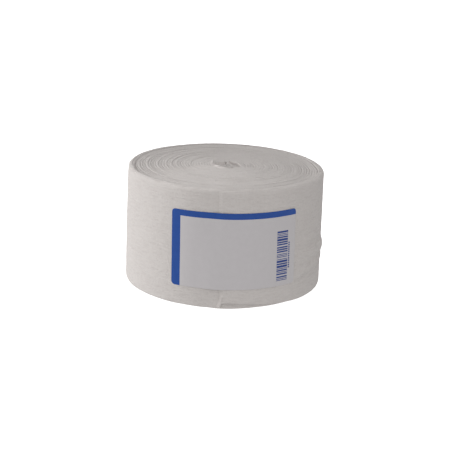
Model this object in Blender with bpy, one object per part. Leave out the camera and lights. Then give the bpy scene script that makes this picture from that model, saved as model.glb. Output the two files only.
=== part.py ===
"""A wide gauze bandage roll that stands on its end, with its loose end and a stuck-on label.

Units are metres and +Z is up. The origin is the middle of the base. Angles run from the
front (-Y) towards the right (+X), and the bandage winds inwards as the angle grows, from
its free edge just left of the front. Heights are above the surface the roll stands on.
"""
import math
from itertools import pairwise

import bmesh
import bpy

MM = 0.001

# --- the wound roll ---
BANDAGE_WIDTH = 100 * MM        # height of the standing roll, to the top of its rim
OUTER_RADIUS = 84.9 * MM        # at the free edge, near the top
BASE_FLARE = 1.0 * MM           # the foot is this much wider than the top
LAP_DROP = 1.8 * MM             # the wall comes in by this much over one turn
TOP_EDGE_RADIUS = 3.5 * MM
BASE_EDGE_RADIUS = 4.0 * MM
AXIS_X = -0.8 * MM              # the winding's axis, which puts the whole box over the origin
AXIS_Y = 1.1 * MM
COLUMN_COUNT = 96
SIDE_ROWS = 9
EDGE_ROWS = 3

# --- the end face: proud rim, groove, main rings, and the folded start in the middle ---
RIM_WIDTH = 4.3 * MM
RIM_DIP = 1.5 * MM              # the rim sinks by this much beside the free edge
RIM_DIP_ANGLE = 354.0
RIM_DIP_REACH = 9.0
GROOVE_WIDTH = 1.0 * MM
GROOVE_DEPTH = 2.4 * MM
FIELD_HEIGHT = BANDAGE_WIDTH - 1.4 * MM     # crests of the rings just inside the rim
FIELD_CROWN = 2.4 * MM          # the crests rise by this much towards the middle
RING_PITCH = 3 * LAP_DROP       # one main ring is three turns of the bandage
RING_RELIEF = 0.8 * MM
FIRST_RING_RADIUS = 14.8 * MM
RING_COUNT = 11

# The points across one ring, from its valley outwards: share of the pitch, share of the relief.
RING_SHAPE = [
    {"across": 0.0, "rise": -1.0},
    {"across": 0.25, "rise": 0.0},
    {"across": 0.75, "rise": 0.0},
]
EYE_RADII = [14.0 * MM, 12.0 * MM, 10.0 * MM, 8.0 * MM, 6.0 * MM, 4.0 * MM, 2.0 * MM]
EYE_DEPTH = 9.0 * MM
EYE_EDGE = 0.3                  # share of each hollow taken up by its sloping wall

# The two hollows beside the start of the bandage: middle, half sizes, turn.
EYE_HOLLOWS = [
    {"x": -5.6 * MM, "y": 4.6 * MM, "long": 6.4 * MM, "short": 4.6 * MM, "turn": 8.0},
    {"x": 6.2 * MM, "y": 4.4 * MM, "long": 9.0 * MM, "short": 4.4 * MM, "turn": -56.0},
]

# --- the loose end: the last stretch of the outer turn ---
CLEARANCE = 0.3 * MM
LOOSE_THICKNESS = 1.5 * MM
LOOSE_CURL = 0.8                # share of the rim's rounding that its upper edge follows
LOOSE_JOIN_ANGLE = 112.5
LOOSE_JOIN_GAP = 0.4            # degrees between its far end and the step that it meets
STEP_ANGLE = 0.4                # degrees over which the wall steps out beyond the join
LOOSE_COLUMNS = 46
LOOSE_ROWS = 22

# The free edge leans, and its lower corner hangs forward: height, angle.
FREE_EDGE = [
    {"height": 1.0 * MM, "angle": -2.7},
    {"height": 4.0 * MM, "angle": -1.1},
    {"height": 8.4 * MM, "angle": 0.2},
    {"height": 16.0 * MM, "angle": -0.4},
    {"height": 50.0 * MM, "angle": -1.6},
    {"height": 97.6 * MM, "angle": -3.0},
]

# The long edges of the loose end: angle, lower height, upper height.
LONG_EDGES = [
    {"angle": -3.0, "low": 1.0 * MM, "high": 97.4 * MM},
    {"angle": -1.5, "low": 3.4 * MM, "high": 98.2 * MM},
    {"angle": 1.0, "low": 5.6 * MM, "high": 99.2 * MM},
    {"angle": 12.0, "low": 4.4 * MM, "high": 99.3 * MM},
    {"angle": 24.0, "low": 3.1 * MM, "high": 99.3 * MM},
    {"angle": 52.0, "low": 2.2 * MM, "high": 99.3 * MM},
    {"angle": 112.5, "low": 1.6 * MM, "high": 99.3 * MM},
]

# Soft ridges where the loose end stands off the roll: start and end of each ridge line,
# the half width of its swell, and its rise at the strongest place.
CREASES = [
    {"angle": 46.0, "height": 49.0 * MM, "to_angle": 106.0, "to_height": 34.0 * MM,
     "half_width": 7.5 * MM, "rise": 1.7 * MM},
    {"angle": 52.0, "height": 35.0 * MM, "to_angle": 92.0, "to_height": 31.0 * MM,
     "half_width": 4.6 * MM, "rise": 0.8 * MM},
    {"angle": 50.0, "height": 26.5 * MM, "to_angle": 90.0, "to_height": 23.5 * MM,
     "half_width": 4.4 * MM, "rise": 0.7 * MM},
    {"angle": 49.0, "height": 19.5 * MM, "to_angle": 96.0, "to_height": 14.0 * MM,
     "half_width": 5.0 * MM, "rise": 0.8 * MM},
]

# --- the label that holds the free edge down ---
LABEL_THICKNESS = 1.0 * MM
LABEL_LEFT = -29.4
LABEL_RIGHT = 43.7
LABEL_LEAN = 0.5                # degrees by which its foot stands right of its head
LABEL_LOW = 17.4 * MM
LABEL_HIGH = 81.7 * MM
LABEL_RISE = 0.5 * MM           # its right end stands this much higher than its left end
LABEL_CORNER = 3.0 * MM
LABEL_LIFT_FROM = -11.0         # where it leaves the roll to climb over the free edge
LABEL_LIFT_TO = -3.9
LABEL_SPARE = 0.15 * MM
LABEL_COLUMNS = 26
LABEL_ROWS = 8

# --- colours (linear) ---
CLOTH_COLOUR = (0.72, 0.69, 0.66, 1.0)
LOOSE_COLOUR = (0.70, 0.67, 0.64, 1.0)
LABEL_COLOUR = (0.62, 0.61, 0.64, 1.0)


def smooth_step(value):
    """Ease from 0 to 1 as value goes from 0 to 1."""
    value = min(max(value, 0.0), 1.0)
    return value * value * (3.0 - 2.0 * value)


def read_table(rows, key, column, place):
    """Value of a table's column at a place along its key, eased between rows."""
    if place <= rows[0][key]:
        return rows[0][column]
    for before, after in pairwise(rows):
        if place <= after[key]:
            share = (place - before[key]) / (after[key] - before[key])
            return before[column] + (after[column] - before[column]) * smooth_step(share)
    return rows[-1][column]


def arc_inset(distance, radius):
    """How far a round edge has drawn back at a distance from the end of its arc."""
    if distance >= radius:
        return 0.0
    return radius - math.sqrt(radius * radius - (radius - distance) ** 2)


def on_roll(angle, radius, height):
    """World position from an angle in degrees, a radius and a height."""
    turn = math.radians(angle)
    x = AXIS_X + radius * math.sin(turn)
    y = AXIS_Y - radius * math.cos(turn)
    return (x, y, height)


def lap_radius(angle):
    """Radius of the outermost cloth at any angle, near the top of the roll."""
    return OUTER_RADIUS - LAP_DROP * (angle % 360.0) / 360.0


def flare(height):
    """How much wider the roll is at a height than at its top."""
    return BASE_FLARE * (1.0 - height / BANDAGE_WIDTH)


def is_under_loose_end(angle):
    """True where the loose end covers the roll."""
    return angle % 360.0 <= LOOSE_JOIN_ANGLE


def wall_radius(angle):
    """Radius of the roll's own wall, which steps in under the loose end."""
    radius = lap_radius(angle)
    if is_under_loose_end(angle):
        radius -= LAP_DROP
    return radius


def rim_sink(angle):
    """How far the rim has sunk at an angle, beside the free edge."""
    across = abs(angle % 360.0 - RIM_DIP_ANGLE) / RIM_DIP_REACH
    return RIM_DIP * smooth_step(1.0 - across)


def top_edge_inset(height, rim_depth):
    """How far the round upper edge has drawn in at a height, on a rim of a given depth."""
    reach = min(TOP_EDGE_RADIUS, rim_depth - CLEARANCE)
    return arc_inset(BANDAGE_WIDTH - height, TOP_EDGE_RADIUS) * reach / TOP_EDGE_RADIUS


def crease_rise(angle, height):
    """How far the soft ridges push the loose end outwards."""
    rise = 0.0
    for crease in CREASES:
        along = (angle - crease["angle"]) / (crease["to_angle"] - crease["angle"])
        if not 0.0 < along < 1.0:
            continue
        middle = crease["height"] + (crease["to_height"] - crease["height"]) * along
        across = abs(height - middle) / crease["half_width"]
        if across < 1.0:
            swell = math.cos(0.5 * math.pi * across) ** 2
            rise += crease["rise"] * swell * math.sin(math.pi * along ** 0.8) ** 0.7
    return rise


def eye_drop(x, y):
    """Depth of the two hollows at a place on the end face."""
    drop = 0.0
    for hollow in EYE_HOLLOWS:
        turn = math.radians(hollow["turn"])
        dx = x - hollow["x"]
        dy = y - hollow["y"]
        along = (dx * math.cos(turn) + dy * math.sin(turn)) / hollow["long"]
        across = (dy * math.cos(turn) - dx * math.sin(turn)) / hollow["short"]
        inside = (1.0 - math.hypot(along, across)) / EYE_EDGE
        drop = max(drop, EYE_DEPTH * smooth_step(inside))
    return drop


def side_profile(angle):
    """Radius and height of the roll's side, from the flat base up to the groove."""
    wall = wall_radius(angle)
    profile = []
    for step in range(EDGE_ROWS):
        turn = 0.5 * math.pi * step / EDGE_ROWS
        height = BASE_EDGE_RADIUS * (1.0 - math.cos(turn))
        inset = BASE_EDGE_RADIUS * (1.0 - math.sin(turn))
        profile.append((wall + flare(height) - inset, height))
    straight = BANDAGE_WIDTH - BASE_EDGE_RADIUS - TOP_EDGE_RADIUS
    for step in range(SIDE_ROWS):
        height = BASE_EDGE_RADIUS + straight * step / (SIDE_ROWS - 1)
        profile.append((wall + flare(height), height))
    rim_inside = lap_radius(angle) - RIM_WIDTH
    sink = rim_sink(angle)
    for step in range(1, EDGE_ROWS + 1):
        rise = TOP_EDGE_RADIUS * math.sin(0.5 * math.pi * step / EDGE_ROWS)
        height = BANDAGE_WIDTH - TOP_EDGE_RADIUS + rise
        inset = top_edge_inset(height, wall - rim_inside)
        profile.append((wall - inset, height - sink * rise / TOP_EDGE_RADIUS))
    profile.append((rim_inside, BANDAGE_WIDTH - sink))
    profile.append((rim_inside - GROOVE_WIDTH, BANDAGE_WIDTH - GROOVE_DEPTH))
    return profile


def field_height(radius):
    """Height of the wound end face, which rises a little towards the middle."""
    return FIELD_HEIGHT + FIELD_CROWN * (1.0 - radius / OUTER_RADIUS)


def ring_profile(angle):
    """Radius and height of the main rings, from the middle outwards."""
    profile = []
    for ring in range(RING_COUNT):
        for point in RING_SHAPE:
            turns = ring + 1.0 - (angle % 360.0) / 360.0 + point["across"]
            radius = FIRST_RING_RADIUS + RING_PITCH * turns
            profile.append((radius, field_height(radius) + RING_RELIEF * point["rise"]))
    return profile


def make_material(name, colour, roughness):
    """Matt material with the piece's own colour."""
    material = bpy.data.materials.new(name)
    material.use_nodes = True
    shader = material.node_tree.nodes["Principled BSDF"]
    shader.inputs["Base Color"].default_value = colour
    shader.inputs["Roughness"].default_value = roughness
    shader.inputs["Metallic"].default_value = 0.0
    material.diffuse_color = colour
    return material


def finish_object(name, mesh_builder, material, sharp_angle):
    """Close a mesh builder into a named, smooth shaded object."""
    bmesh.ops.triangulate(mesh_builder, faces=mesh_builder.faces[:])
    bmesh.ops.recalc_face_normals(mesh_builder, faces=mesh_builder.faces[:])
    mesh = bpy.data.meshes.new(name)
    mesh_builder.to_mesh(mesh)
    mesh_builder.free()
    mesh.shade_smooth()
    mesh.set_sharp_from_angle(angle=math.radians(sharp_angle))
    mesh.materials.append(material)
    piece = bpy.data.objects.new(name, mesh)
    bpy.context.collection.objects.link(piece)
    return piece


def join_strips(builder, strip, next_strip):
    """Fill the faces between two neighbouring rows of points of equal length."""
    for (low, next_low), (high, next_high) in pairwise(zip(strip, next_strip)):
        builder.faces.new((low, next_low, next_high, high))


def build_roll(material):
    """The wound roll as one solid, ringed on top and flat below."""
    builder = bmesh.new()
    walls = []
    rings = []
    eyes = []
    for column in range(COLUMN_COUNT):
        angle = 360.0 * column / COLUMN_COUNT
        wall_angles = [angle]
        if angle == LOOSE_JOIN_ANGLE:
            wall_angles.append(angle + STEP_ANGLE)
        walls.append([
            [builder.verts.new(on_roll(wall_angle, r, z)) for r, z in side_profile(wall_angle)]
            for wall_angle in wall_angles])
        rings.append([builder.verts.new(on_roll(angle, r, z)) for r, z in ring_profile(angle)])
        eye = []
        for radius in EYE_RADII:
            x, y, top = on_roll(angle, radius, field_height(radius))
            eye.append(builder.verts.new((x, y, top - eye_drop(x, y))))
        eyes.append(eye)
    base_middle = builder.verts.new((AXIS_X, AXIS_Y, 0.0))
    top_middle = builder.verts.new((AXIS_X, AXIS_Y, field_height(0.0)))

    one_turn = len(RING_SHAPE)
    for column in range(COLUMN_COUNT):
        following = (column + 1) % COLUMN_COUNT
        ring, next_ring = rings[column], rings[following]
        eye, next_eye = eyes[column], eyes[following]
        for wall, next_wall in pairwise([*walls[column], walls[following][0]]):
            builder.faces.new((base_middle, next_wall[0], wall[0]))
            join_strips(builder, wall, next_wall)
        for wall, next_wall in pairwise(walls[column]):
            builder.faces.new((wall[-1], next_wall[-1], ring[-1]))
        wall, next_wall = walls[column][-1], walls[following][0]
        if following:
            join_strips(builder, ring, next_ring)
            outer_gap = (wall[-1], next_wall[-1], next_ring[-1], ring[-1])
            inner_gap = (ring[0], next_ring[0], next_eye[0], eye[0])
        else:
            # One turn on, each ring has moved in to the place of its inner neighbour.
            join_strips(builder, ring[one_turn:], next_ring[:-one_turn])
            spare_rings = reversed(next_ring[-one_turn - 1:])
            outer_gap = (wall[-1], next_wall[-1], *spare_rings, ring[-1])
            inner_gap = (*ring[:one_turn + 1], next_ring[0], next_eye[0], eye[0])
        builder.faces.new(outer_gap)
        builder.faces.new(inner_gap)
        join_strips(builder, eye, next_eye)
        builder.faces.new((eye[-1], next_eye[-1], top_middle))
    return finish_object("bandage_roll", builder, material, 35.0)


def build_sheet(name, columns, rows, place, thickness, material):
    """A closed curved sheet; place(u, v) gives its angle, inner radius and height."""
    builder = bmesh.new()
    inner = []
    outer = []
    for column in range(columns + 1):
        inner_column = []
        outer_column = []
        for row in range(rows + 1):
            angle, radius, height = place(column / columns, row / rows)
            inner_column.append(builder.verts.new(on_roll(angle, radius, height)))
            outer_place = on_roll(angle, radius + thickness, height)
            outer_column.append(builder.verts.new(outer_place))
        inner.append(inner_column)
        outer.append(outer_column)
    for inner_pair, outer_pair in zip(pairwise(inner), pairwise(outer)):
        join_strips(builder, *inner_pair)
        join_strips(builder, *outer_pair)
        for end in (0, -1):
            near, far = inner_pair[0][end], inner_pair[1][end]
            builder.faces.new((near, far, outer_pair[1][end], outer_pair[0][end]))
    for end in (0, -1):
        join_strips(builder, inner[end], outer[end])
    return finish_object(name, builder, material, 40.0)


def loose_end_place(u, v):
    """Place on the inner skin of the loose end: u along it from the free edge, v up it."""
    far_angle = LOOSE_JOIN_ANGLE - LOOSE_JOIN_GAP
    height = FREE_EDGE[0]["height"] + v * (FREE_EDGE[-1]["height"] - FREE_EDGE[0]["height"])
    near_angle = read_table(FREE_EDGE, "height", "angle", height)
    angle = near_angle + (far_angle - near_angle) * u ** 1.15
    low = read_table(LONG_EDGES, "angle", "low", angle)
    high = read_table(LONG_EDGES, "angle", "high", angle)
    height = low + (high - low) * v
    radius = wall_radius(max(angle, 0.0)) + flare(height) + CLEARANCE
    radius -= LOOSE_CURL * top_edge_inset(height, RIM_WIDTH - LAP_DROP)
    return angle, radius + crease_rise(angle, height), height


def label_place(u, v):
    """Place on the back of the label: u from its left edge, v from its lower edge."""
    left_to_right = math.radians(LABEL_RIGHT - LABEL_LEFT) * OUTER_RADIUS
    from_end = min(u, 1.0 - u) * left_to_right
    corner = arc_inset(from_end, LABEL_CORNER)
    low = LABEL_LOW + LABEL_RISE * u + corner
    high = LABEL_HIGH + LABEL_RISE * u - corner
    height = low + (high - low) * v
    lean = LABEL_LEAN * (0.5 - v)
    angle = LABEL_LEFT + (LABEL_RIGHT - LABEL_LEFT) * u + lean
    lift = (angle - LABEL_LIFT_FROM) / (LABEL_LIFT_TO - LABEL_LIFT_FROM)
    under = OUTER_RADIUS - LAP_DROP * (1.0 - smooth_step(lift))
    return angle, under + flare(height) + CLEARANCE + LABEL_SPARE, height


def ease_to_ends(u):
    """Crowd the columns towards both ends, where the corners are round."""
    return 0.5 - 0.5 * math.cos(math.pi * u)


def main():
    for thing in list(bpy.data.objects):
        bpy.data.objects.remove(thing, do_unlink=True)
    cloth = make_material("gauze_cloth", CLOTH_COLOUR, 0.95)
    loose_cloth = make_material("gauze_loose_end", LOOSE_COLOUR, 0.95)
    paper = make_material("label_paper", LABEL_COLOUR, 0.6)
    build_roll(cloth)
    build_sheet("loose_end", LOOSE_COLUMNS, LOOSE_ROWS, loose_end_place,
                LOOSE_THICKNESS, loose_cloth)
    build_sheet("label", LABEL_COLUMNS, LABEL_ROWS,
                lambda u, v: label_place(ease_to_ends(u), v), LABEL_THICKNESS, paper)


main()
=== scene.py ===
"""Looks of a gauze bandage roll that stands on its end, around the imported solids.

Units are metres and +Z is up. Angles run from the front (-Y) towards the right (+X), and
the bandage winds inwards as the angle grows, from its free edge just left of the front.
A lap is one turn of the bandage; lap 0 is the outermost.
"""
import math

import bmesh
import bpy
import numpy as np
from mathutils import Matrix, Vector


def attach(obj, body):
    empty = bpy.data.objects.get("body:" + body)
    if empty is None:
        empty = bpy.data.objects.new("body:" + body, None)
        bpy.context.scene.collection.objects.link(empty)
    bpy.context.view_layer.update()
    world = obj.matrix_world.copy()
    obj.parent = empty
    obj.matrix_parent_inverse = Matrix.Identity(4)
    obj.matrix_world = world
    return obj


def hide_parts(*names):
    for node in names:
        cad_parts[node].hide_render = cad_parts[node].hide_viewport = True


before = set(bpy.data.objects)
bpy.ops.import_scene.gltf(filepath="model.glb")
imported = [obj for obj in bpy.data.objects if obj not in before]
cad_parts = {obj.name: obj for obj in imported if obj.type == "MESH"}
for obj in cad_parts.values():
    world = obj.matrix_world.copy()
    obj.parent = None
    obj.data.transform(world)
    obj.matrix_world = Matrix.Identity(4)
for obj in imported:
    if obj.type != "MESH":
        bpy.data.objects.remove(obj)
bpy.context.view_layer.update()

MM = 0.001

# --- the roll, as in the solids ---
BANDAGE_WIDTH = 100 * MM
OUTER_RADIUS = 84.9 * MM
BASE_FLARE = 1.0 * MM
LAP_DROP = 1.8 * MM
TOP_EDGE_RADIUS = 3.5 * MM
BASE_EDGE_RADIUS = 4.0 * MM
AXIS_X = -0.8 * MM
AXIS_Y = 1.1 * MM
FIELD_HEIGHT = BANDAGE_WIDTH - 0.7 * MM
FIELD_CROWN = 1.7 * MM

# The lean of the upper edge, in shares of its round edge: more from the right on, less at the
# hidden tail, and softer at the front left.
LEAN = 0.7
LEAN_GAIN = 0.1
LEAN_GAIN_FROM = 60.0
LEAN_GAIN_EASE = 60.0
TAIL_LEAN_LOSS = 0.5
TAIL_LEAN_FROM = 18.0           # degrees before the tail
TAIL_LEAN_EASE = 14.0
SOFT_EDGE_RADIUS = 7.0 * MM
SOFT_EDGE_SHARE = 0.3
SOFT_EDGE_ANGLE = 322.0
SOFT_EDGE_SPREAD = 20.0

# --- the outer turn: one sheet from the free edge to a tail that lies under it ---
TURN_THICKNESS = 1.7 * MM
EDGE_THICKNESS = 0.30 * MM      # the free edge is pressed thin
EDGE_TAPER = 3.6 * MM
EDGE_TAPER_SHARE = 0.45         # of the thickness, gained within the taper; the rest far behind
EDGE_EASE = 16 * MM
EDGE_ZONE = 5.0                 # degrees behind the free edge that get closer columns
EDGE_COLUMNS = 22
TAIL_ANGLE = 424.6
TURN_COLUMNS = 520
TURN_ROWS = 150
TURN_BACK_ROWS = 16
BACK_ROWS_POWER = 1.6           # crowds the rows of the back towards its top
CREST_RISE = 0.75 * MM          # of the upper fold's crest, which lies near its back
BACK_RISE = 0.5 * MM
BACK_RISE_POWER = 60            # keeps the back's rise to its top
FOLD_POINTS = 5
UPPER_FOLD_SHARE = 0.55         # height of the upper fold, as a share of a round one

# The free edge leans, and its lower corner hangs forward: height, angle.
FREE_EDGE_HEIGHTS = np.array([1.0, 3.5, 6.5, 11.0, 16.0, 50.0, 97.6]) * MM
FREE_EDGE_ANGLES = np.array([-2.6, -1.9, -1.0, -1.0, -1.3, -2.0, -3.0])

# The free edge ends in a soft hem: height on the roll, how far the hem stands out.
HEM_WIDTH = 6.2 * MM
HEM_POWER = 1.5
HEM_HEIGHTS = np.array([1.0, 4.0, 8.0, 12.0, 16.0, 22.0, 60.0, 88.0, 94.5, 98.0]) * MM
HEM_RISES = np.array([0.85, 1.1, 1.35, 0.8, 0.4, 0.2, 0.1, 0.0, 0.4, 0.2]) * MM

# A span is a run of angles or places: start, ease in, end, ease out.
# The lifted part of the lower edge stands away from the roll.
LIFT_SPAN = (-2.0, 5.0, 44.0, 26.0)
LIFT_RISE = 1.5 * MM
LIFT_FALL = 2.6 * MM

# Below it, the foot of the turn inside stands forward.
FOOT_SPAN = (353.0, 5.0, 384.0, 20.0)
FOOT_RISE = 1.5 * MM
FOOT_FALL = 2.4 * MM

# Random relief of the outer turn: size, cell along, cell up, seed.
TURN_UNEVENNESS = (0.20 * MM, 34 * MM, 26 * MM, 11)
WIDE_PUCKERS = (0.09 * MM, 6 * MM, 7 * MM, 12)
FINE_PUCKERS = (0.05 * MM, 3.2 * MM, 3.0 * MM, 13)
STREAK_PATCHES = (0.5, 28 * MM, 20 * MM, 14)
STREAKS = (0.09 * MM, 11 * MM, 1.7 * MM, 15)

# Random wander of its long edges: size, cell along, seed.
UPPER_EDGE_WANDER = (0.22 * MM, 14 * MM, 21)
UPPER_EDGE_RIPPLE = (0.10 * MM, 3 * MM, 22)
LOWER_EDGE_WANDER = (0.15 * MM, 12 * MM, 23)

# The long edges of the outer turn: angle, lower height, upper height, share of the foot's curl.
LONG_EDGES = np.array([
    (-3.0, 0.7, 98.0, 0.0),
    (-0.2, 0.9, 98.8, 0.0),
    (0.9, 4.9, 99.2, 0.0),
    (7.0, 5.2, 99.5, 0.0),
    (16.0, 4.2, 99.7, 0.0),
    (24.0, 3.2, 99.7, 0.1),
    (34.0, 1.6, 99.7, 0.2),
    (44.0, 0.8, 99.8, 0.2),
    (52.0, 0.4, 99.8, 0.3),
    (80.0, 0.3, 99.5, 0.4),
    (108.0, 0.3, 98.9, 0.5),
    (135.0, 0.3, 99.6, 0.5),
    (163.0, 0.3, 100.1, 0.5),
    (178.0, 0.3, 99.9, 0.5),
    (190.0, 0.3, 99.6, 0.5),
    (232.0, 0.3, 99.5, 0.5),
    (262.0, 0.3, 99.8, 0.4),
    (285.0, 0.2, 99.8, 0.2),
    (320.0, 0.0, 99.8, 0.1),
    (346.0, 0.0, 99.7, 0.1),
    (354.0, 0.0, 99.8, 0.1),
    (362.0, 0.0, 99.8, 0.1),
    (372.0, 0.0, 99.9, 0.1),
    (400.0, 0.1, 99.9, 0.2),
    (416.0, 0.3, 99.8, 0.7),
    (424.6, 0.3, 99.6, 0.8),
])

# Soft creases at the lower right. Each ridge: angle and height where it starts, angle and
# height where it ends, half width, rise.
CREASE_RIDGES = [
    (40.0, 50.5 * MM, 84.0, 50.0 * MM, 5.5 * MM, 0.9 * MM),
    (46.0, 38.0 * MM, 112.0, 33.0 * MM, 8.5 * MM, 1.7 * MM),
    (46.0, 23.0 * MM, 92.0, 27.0 * MM, 4.6 * MM, 1.0 * MM),
]

# The troughs between them, which dent the outer skin only; their last value is a depth.
CREASE_TROUGHS = [
    (45.0, 43.0 * MM, 88.0, 44.5 * MM, 4.2 * MM, 0.9 * MM),
    (54.0, 29.4 * MM, 90.0, 30.0 * MM, 3.4 * MM, 0.9 * MM),
    (44.0, 17.4 * MM, 92.0, 21.5 * MM, 3.8 * MM, 1.0 * MM),
]

# Both fade out towards their ends, and are strongest a little before their middle.
CREASE_SKEW = 0.8
CREASE_FADE = 0.7

# --- the turns inside it ---
SEAM_ANGLE = 64.0               # where the columns of the wound body begin
BODY_COLUMNS = 288
FOOT_COLUMNS = 192
TURN_PITCH = 2.26 * MM          # on average; the three outermost turns are LAP_DROP apart
PITCH_CHANGE = 0.16             # share by which the pitch varies
PITCH_SEED = 71
OUTER_HALF_TURNS = 6            # half turns that are LAP_DROP / 2 apart
BODY_LAPS = 31
BODY_MIDDLE = 50 * MM
UPPER_WALL = np.array([50.0, 80.0, 92.0, 96.5, 98.0, 98.8, 99.1]) * MM
LOWER_WALL = np.array([50.0, 20.0, 8.0, 4.0, 2.2, 1.0, 0.5]) * MM
WALL_GAP = 0.03 * MM
UPPER_END_INSET = 0.4 * MM      # of the outermost laps on the end faces
LOWER_END_INSET = 3.0 * MM
END_INSET_LAPS = 2.0
LAP_WOBBLE = (0.22 * MM, 6 * MM, 6 * MM, 51)
# Where the points of a lap lie, as shares of its pitch.
LAP_POINTS = np.array([0.0, 0.07, 0.18, 0.36, 0.5, 0.64, 0.82, 0.93])
RIM_RISE = 0.25 * MM            # the outer turns stand this much above the field
RIM_TURNS = 3.15                # turns that stand so high; the step lies at the front
RIM_STEP = 0.3
RIM_GROOVE_WIDTH = 0.8 * MM
RIM_BACK_RISE = 0.2 * MM        # the rim's laps are higher still at the back
RIM_BACK_FROM = 95.0            # bearing to either side
RIM_BACK_EASE = 15.0
RIM_BACK_INSIDE = 76.5 * MM
RIM_BACK_WIDTH = 3.0 * MM

# The groove inside the rim on the left, faint at the front: bearing, radius, depth.
RIM_GROOVE = np.array([(-130.0, 75.3, 0.0), (-112.0, 76.2, 0.2), (-100.0, 76.9, 0.6),
                       (-90.0, 77.4, 0.95), (-80.0, 78.0, 1.1), (-70.0, 79.0, 1.3),
                       (-60.0, 80.2, 1.2), (-52.0, 80.6, 0.5), (-46.0, 80.7, 0.1),
                       (-34.0, 80.8, 0.3), (-12.0, 80.8, 0.35), (-2.0, 80.8, 0.0)])

# The right half of the field sinks a little outwards: radius, depth.
FIELD_SINK = np.array([(0.0, 0.0), (14.0, 0.0), (20.0, 0.15), (23.0, 0.5), (36.0, 0.55),
                       (39.0, 0.9), (51.0, 0.95), (54.0, 1.2), (61.0, 1.2), (64.0, 1.4),
                       (73.5, 1.5), (77.0, 1.0), (80.0, 0.5), (86.0, 0.5)]) * MM
FIELD_SINK_BEARING = 88.0
FIELD_SINK_SPREAD = 38.0

# Turns that stand a little higher than the others: radius on the left, rise.
HIGH_TURNS = np.array([(74.9, 0.16), (68.6, 0.22), (64.8, 0.10), (58.1, 0.18), (52.5, 0.12),
                       (47.2, 0.24), (42.0, 0.18), (39.5, 0.13), (34.9, 0.10), (29.9, 0.12),
                       (23.0, 0.10)]) * MM
HIGH_TURN_WIDTH = 0.33          # in turns
LEFT_TURN = 275.0 / 360.0       # share of a turn from the free edge to the roll's left side

# Random relief of the upper face, over the plane and along the winding.
FACE_UNEVENNESS = (0.20 * MM, 16 * MM, 16 * MM, 34)
FACE_PUCKERS = (0.08 * MM, 3.4 * MM, 2.6 * MM, 38)
TURN_WANDER = (0.10 * MM, 0.77, 31)
TURN_RIPPLE = (0.06 * MM, 0.17, 32)

# The field and its grooves start this many turns in, over two eases.
INNER_FROM = 2.6
INNER_FIELD_EASE = 0.6
INNER_GROOVE_EASE = 0.5

# Grooves between the turns, in millimetres: everywhere, and more near two bearings.
GROOVE_POWER = 2.6              # the higher it is, the narrower the grooves
GROOVE_DEPTH = 0.13
GROOVE_WANDER = (0.04, 0.57, 35)
GROOVE_RIPPLE = (0.04, 0.09, 36)
GROOVE_ON_RIM = 0.25            # share of the depth that the rim's grooves keep
LEFT_GROOVES = {"bearing": 290.0, "spread": 18.0, "depth": 0.50, "wander": (0.30, 0.57, 37)}
RIGHT_GROOVES = {"bearing": 92.0, "spread": 22.0, "depth": 0.26, "wander": (0.34, 0.19, 39)}

# The lower face.
FOOT_UNEVENNESS = 0.25 * MM
FOOT_WANDER = (0.5, 0.83, 41)
FOOT_GROOVE = 0.9 * MM

# The eye in the middle, inside the laps.
EYE_RADIUS = 13.4 * MM
EYE_ROWS = 34
EYE_EDGE_GAP = 0.3 * MM
EYE_MIDDLE_RADIUS = 0.25 * MM
EYE_FOOT_HEIGHT = 0.3 * MM

# --- the label ---
LABEL_THICKNESS = 0.3 * MM
LABEL_GAP = 0.25 * MM
LABEL_LEFT = -29.2
LABEL_RIGHT = 43.7
LABEL_LEAN = 0.9
LABEL_LOW = 16.6 * MM
LABEL_HIGH = 80.9 * MM
LABEL_RISE = 0.9 * MM
LABEL_CORNER = 3.0 * MM
LABEL_CORNER_STEPS = 6
LABEL_COLUMNS = 40
LABEL_ROWS = 6                  # above the bars
LABEL_BAND_ROWS = 4
LABEL_OVER_BARS = 4 * MM
LABEL_LIFT_FROM = -14.0         # where the foot of the label leaves the cloth, and joins it again
LABEL_LIFT_TO = -1.4

# Its top hugs the free edge: degrees past the edge, share of the climb.
LABEL_CLIMB = np.array([(-6.0, 0.0), (-2.5, 0.08), (-0.6, 0.30), (1.0, 0.60), (2.4, 0.78),
                        (5.0, 0.88), (8.0, 0.96), (11.0, 1.0)])

TOP_BAND = 5.1 * MM
LEFT_BAND = 7.8 * MM
BAR_LEFT = 89.5 * MM
BAR_RIGHT = 100.2 * MM
BAR_LOW = 4.4 * MM
BAR_HIGH = 46.9 * MM
BAR_MODULE = 0.62 * MM
BAR_SEED = 81
BAR_MODULES = [1, 2, 2, 3]
BAR_GAP_MODULES = [1, 1, 1, 2]
DASH_LEFT = 100.9 * MM          # a column of plain dashes beside the bars
DASH_RIGHT = 102.3 * MM
DASH_LOW = 14.3 * MM
DASH_HIGH = 36.2 * MM
DASH_LENGTH = 1.3 * MM
DASH_STEP = 1.9 * MM


# --- shape helpers ---
def smooth_step(value):
    """Ease from 0 to 1 as value goes from 0 to 1."""
    value = np.clip(value, 0.0, 1.0)
    return value * value * (3.0 - 2.0 * value)


DRIFT_LENGTH = 997              # random values along a line, and along a plane's side
DRIFT_SIDE = 331


def drift(place, cell, seed):
    """Smooth random values from -1 to 1 along a line, with a new value each cell."""
    values = np.random.default_rng(seed).uniform(-1.0, 1.0, DRIFT_LENGTH)
    scaled = np.asarray(place) / cell
    whole = np.floor(scaled).astype(int)
    share = smooth_step(scaled - whole)
    low, high = values[whole % DRIFT_LENGTH], values[(whole + 1) % DRIFT_LENGTH]
    return low * (1.0 - share) + high * share


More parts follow.
